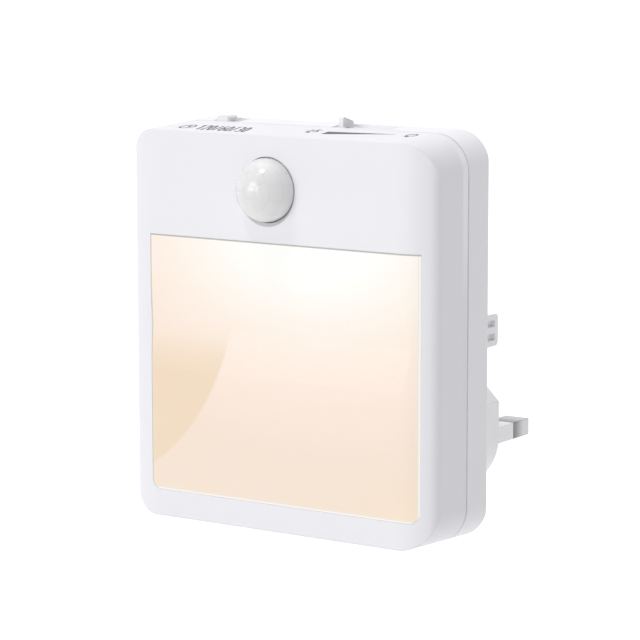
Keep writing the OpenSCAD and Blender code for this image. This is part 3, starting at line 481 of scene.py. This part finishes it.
def on_top(x, y, rise):
    """A point over the case's sloping top."""
    return at(x, y, TOP_Z + TOP_SLOPE * y + rise)


def arc(x, y, across, deep, start, end, steps=20):
    """Points along part of an ellipse, between two angles in degrees."""
    turns = [math.radians(start + (end - start) * i / steps) for i in range(steps + 1)]
    return [(x + across * math.cos(a), y + deep * math.sin(a)) for a in turns]


def ribbon(points):
    """Faces along a line through points, each given by its corners."""
    left, right = [], []
    for i, point in enumerate(points):
        before = Vector(points[max(i - 1, 0)])
        after = Vector(points[min(i + 1, len(points) - 1)])
        if points[0] == points[-1] and i in (0, len(points) - 1):
            before, after = Vector(points[-2]), Vector(points[1])
        side = (after - before).normalized().orthogonal() * LINE_W / 2
        left.append(Vector(point) + side)
        right.append(Vector(point) - side)
    return [[left[i], left[i + 1], right[i + 1], right[i]] for i in range(len(points) - 1)]


def printed(name, faces, look):
    """A thin layer of ink on the top, from faces given by their corners."""
    mesh = bmesh.new()
    for corners in faces:
        low = [mesh.verts.new(on_top(*corner, -PRINT_SINK)) for corner in corners]
        high = [mesh.verts.new(on_top(*corner, PRINT_RISE)) for corner in corners]
        mesh.faces.new(low)
        mesh.faces.new(list(reversed(high)))
        for i, corner in enumerate(low):
            j = (i + 1) % len(low)
            mesh.faces.new([low[j], corner, high[i], high[j]])
    bmesh.ops.recalc_face_normals(mesh, faces=mesh.faces)
    data = bpy.data.meshes.new(name)
    mesh.to_mesh(data)
    mesh.free()
    data.materials.append(look)
    piece = bpy.data.objects.new(name, data)
    bpy.context.collection.objects.link(piece)
    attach(piece, "housing")


def placed(strokes, x, y, across, deep, lean):
    """Strokes drawn in a unit square, moved, stretched and leant over to their place on the top."""
    return [[(x + across * px + lean * py, y + deep * py) for px, py in stroke] for stroke in strokes]


DIGITS = {
    "0": [arc(0.5, 0.5, 0.42, 0.5, 0, 360)],
    "1": [[(0.25, 0.78), (0.55, 1), (0.55, 0)]],
    "2": [arc(0.5, 0.72, 0.4, 0.28, 170, -35) + [(0.08, 0), (0.95, 0)]],
    "3": [arc(0.46, 0.75, 0.36, 0.25, 150, -90) + arc(0.46, 0.25, 0.42, 0.25, 90, -150)],
    "6": [arc(0.5, 0.3, 0.42, 0.3, 0, 360), arc(0.95, 0.3, 0.87, 0.7, 180, 100)],
    "/": [[(0.15, 0), (0.75, 1)]],
}
MINUTES = "120/60/30"
MINUTES_X = -24.2
MINUTES_Y = 1.9
DIGIT_W = 1.2
DIGIT_STEP = 1.66
DIGIT_H = 7.2
DIGIT_LEAN = -2.2


def minutes():
    """The timer's settings as numbers."""
    faces = []
    for i, digit in enumerate(MINUTES):
        x = MINUTES_X + i * DIGIT_STEP
        for stroke in placed(DIGITS[digit], x, MINUTES_Y, DIGIT_W, DIGIT_H, DIGIT_LEAN):
            faces += ribbon(stroke)
    return faces


def clock(x, y, r):
    """A dial with two hands."""
    rim = arc(x, y, r, r * PRINT_DEEP, 0, 360, 36)
    hands = [[(x, y + 0.6 * r * PRINT_DEEP), (x, y)], [(x, y), (x + 0.5 * r, y)]]
    return [face for stroke in (rim, *hands) for face in ribbon(stroke)]


# A bulb's glass and rays in degrees, and the places of its cap's lines and rays in radii of the glass
GLASS_SWEEP = (-55, 235)
RAY_SWEEP = (-10, 190)
CAP_DROPS = (1.05, 1.4)
RAY_ENDS = (1.5, 1.8)


def bulb(x, y, r, rays):
    """A bulb with its cap towards the front, with rays round it where it is bright."""
    deep = r * PRINT_DEEP
    lines = [arc(x, y, r, deep, *GLASS_SWEEP, 30)]
    for drop in CAP_DROPS:
        lines.append([(x - 0.5 * r, y - drop * deep), (x + 0.5 * r, y - drop * deep)])
    for i in range(rays):
        turn = math.radians(RAY_SWEEP[0] + (RAY_SWEEP[1] - RAY_SWEEP[0]) * i / (rays - 1))
        across, along = r * math.cos(turn), deep * math.sin(turn)
        lines.append([(x + far * across, y + far * along) for far in RAY_ENDS])
    return [face for stroke in lines for face in ribbon(stroke)]


# Places on the top: the wedge's corners, and the middle and radius of each sign, with the bulb's rays
WEDGE = [(9.9, 5.6), (9.2, 9.6), (26.8, 11.4)]
CLOCK = (-28.6, 5.4, 1.6)
BRIGHT_BULB = (5.2, 9.2, 1.0, 5)
DIM_BULB = (31.4, 11.2, 1.1, 0)
ink = resin("ink", srgb(62, 62, 66), 0.55, speck=0.2, contrast=0.15)
printed("timer_print", minutes(), ink)
printed("clock_print", clock(*CLOCK), ink)
printed("bright_print", bulb(*BRIGHT_BULB), ink)
printed("wedge_print", [WEDGE], ink)
printed("dim_print", bulb(*DIM_BULB), ink)


# Stage: floor, light and camera

FLOOR_Z = -112.0
FLOOR_SIZE_M = 20.0
FLOOR_COLOUR = srgb(236, 236, 236)
FLOOR_ROUGHNESS = 0.9
# Glow that lifts the floor to white where it is seen, and the strength of the light from all round
FLOOR_LIFT = 0.42
WORLD_FILL = 0.39
# Each lamp's name, the way to it, its strength and its width in degrees
LAMPS = [
    ("key", (-0.34, -0.93, 0.15), 1.194, 40),
    ("overhead", (-0.1, -0.3, 0.95), 0.8, 16),
    ("behind", (-0.1, 0.35, 0.93), 1.07, 60),
]
CAMERA_TURN = math.radians(33.97)
CAMERA_PITCH = math.radians(8.96)
CAMERA_ROLL = math.radians(-0.13)
CAMERA_DISTANCE = 686.2
CAMERA_TARGET_Y = 13.25
IMAGE_SIZE = 640
FOCAL_PX = 2848.4
OPTICAL_CENTRE_PX = (304.8, 328.7)
SENSOR = 36.0
CLIP_M = (0.01, 50)


def seen_directly(tree):
    """1 for rays that should meet the plain white background: camera, mirror and glass rays."""
    path = tree.nodes.new("ShaderNodeLightPath")
    total = None
    for ray in ("Is Camera Ray", "Is Glossy Ray", "Is Transmission Ray"):
        if total is None:
            total = path.outputs[ray]
            continue
        both = tree.nodes.new("ShaderNodeMath")
        both.operation = "MAXIMUM"
        tree.links.new(total, both.inputs[0])
        tree.links.new(path.outputs[ray], both.inputs[1])
        total = both.outputs[0]
    return total


def make_world():
    """Even light from all round, which shows as white."""
    world = bpy.data.worlds.new("studio")
    bpy.context.scene.world = world
    world.use_nodes = True
    tree = world.node_tree
    sky = tree.nodes["Background"]
    sky.inputs["Color"].default_value = (1, 1, 1, 1)
    strength = tree.nodes.new("ShaderNodeMapRange")
    strength.inputs["To Min"].default_value = WORLD_FILL
    strength.inputs["To Max"].default_value = 1.0
    tree.links.new(seen_directly(tree), strength.inputs["Value"])
    tree.links.new(strength.outputs["Result"], sky.inputs["Strength"])


def make_floor():
    """A white floor that keeps the object's shadow."""
    half = FLOOR_SIZE_M / 2
    z = at(0, 0, FLOOR_Z).z
    corners = [(-half, -half, z), (half, -half, z), (half, half, z), (-half, half, z)]
    data = bpy.data.meshes.new("floor")
    data.from_pydata(corners, [], [(0, 1, 2, 3)])
    floor = bpy.data.objects.new("floor", data)
    bpy.context.collection.objects.link(floor)
    material = bpy.data.materials.new("floor")
    material.use_nodes = True
    tree = material.node_tree
    shader = tree.nodes["Principled BSDF"]
    shader.inputs["Base Color"].default_value = FLOOR_COLOUR
    shader.inputs["Roughness"].default_value = FLOOR_ROUGHNESS
    shader.inputs["Emission Color"].default_value = (1, 1, 1, 1)
    lift = tree.nodes.new("ShaderNodeMath")
    lift.operation = "MULTIPLY"
    lift.inputs[1].default_value = FLOOR_LIFT
    tree.links.new(seen_directly(tree), lift.inputs[0])
    tree.links.new(lift.outputs[0], shader.inputs["Emission Strength"])
    data.materials.append(material)


def make_sun(name, direction, strength, spread):
    """A soft lamp that shines from a direction given in the frame's axes."""
    data = bpy.data.lights.new(name, "SUN")
    data.energy = strength
    data.angle = math.radians(spread)
    lamp = bpy.data.objects.new(name, data)
    lamp.rotation_mode = "QUATERNION"
    lamp.rotation_quaternion = Vector(direction).to_track_quat("Z", "Y")
    bpy.context.collection.objects.link(lamp)


def make_camera():
    """The camera of the photograph: from the right and a little above."""
    turn, pitch, roll = CAMERA_TURN, CAMERA_PITCH, CAMERA_ROLL
    ahead = Vector((-math.sin(turn) * math.cos(pitch), math.cos(turn) * math.cos(pitch), -math.sin(pitch)))
    right = Vector((math.cos(turn), math.sin(turn), 0))
    up = right.cross(ahead)
    rolled_right = math.cos(roll) * right + math.sin(roll) * up
    rolled_up = math.cos(roll) * up - math.sin(roll) * right
    data = bpy.data.cameras.new("camera")
    data.sensor_width = SENSOR
    data.lens = FOCAL_PX / IMAGE_SIZE * SENSOR
    data.shift_x = 0.5 - OPTICAL_CENTRE_PX[0] / IMAGE_SIZE
    data.shift_y = OPTICAL_CENTRE_PX[1] / IMAGE_SIZE - 0.5
    data.clip_start, data.clip_end = CLIP_M
    camera = bpy.data.objects.new("camera", data)
    axes = Matrix((rolled_right, rolled_up, -ahead)).transposed().to_4x4()
    place = at(0, CAMERA_TARGET_Y, 0) - MM * CAMERA_DISTANCE * ahead
    camera.matrix_world = Matrix.Translation(place) @ axes
    bpy.context.collection.objects.link(camera)
    bpy.context.scene.camera = camera


make_world()
make_floor()
for lamp in LAMPS:
    make_sun(*lamp)
make_camera()
bpy.context.scene.view_settings.view_transform = "Standard"
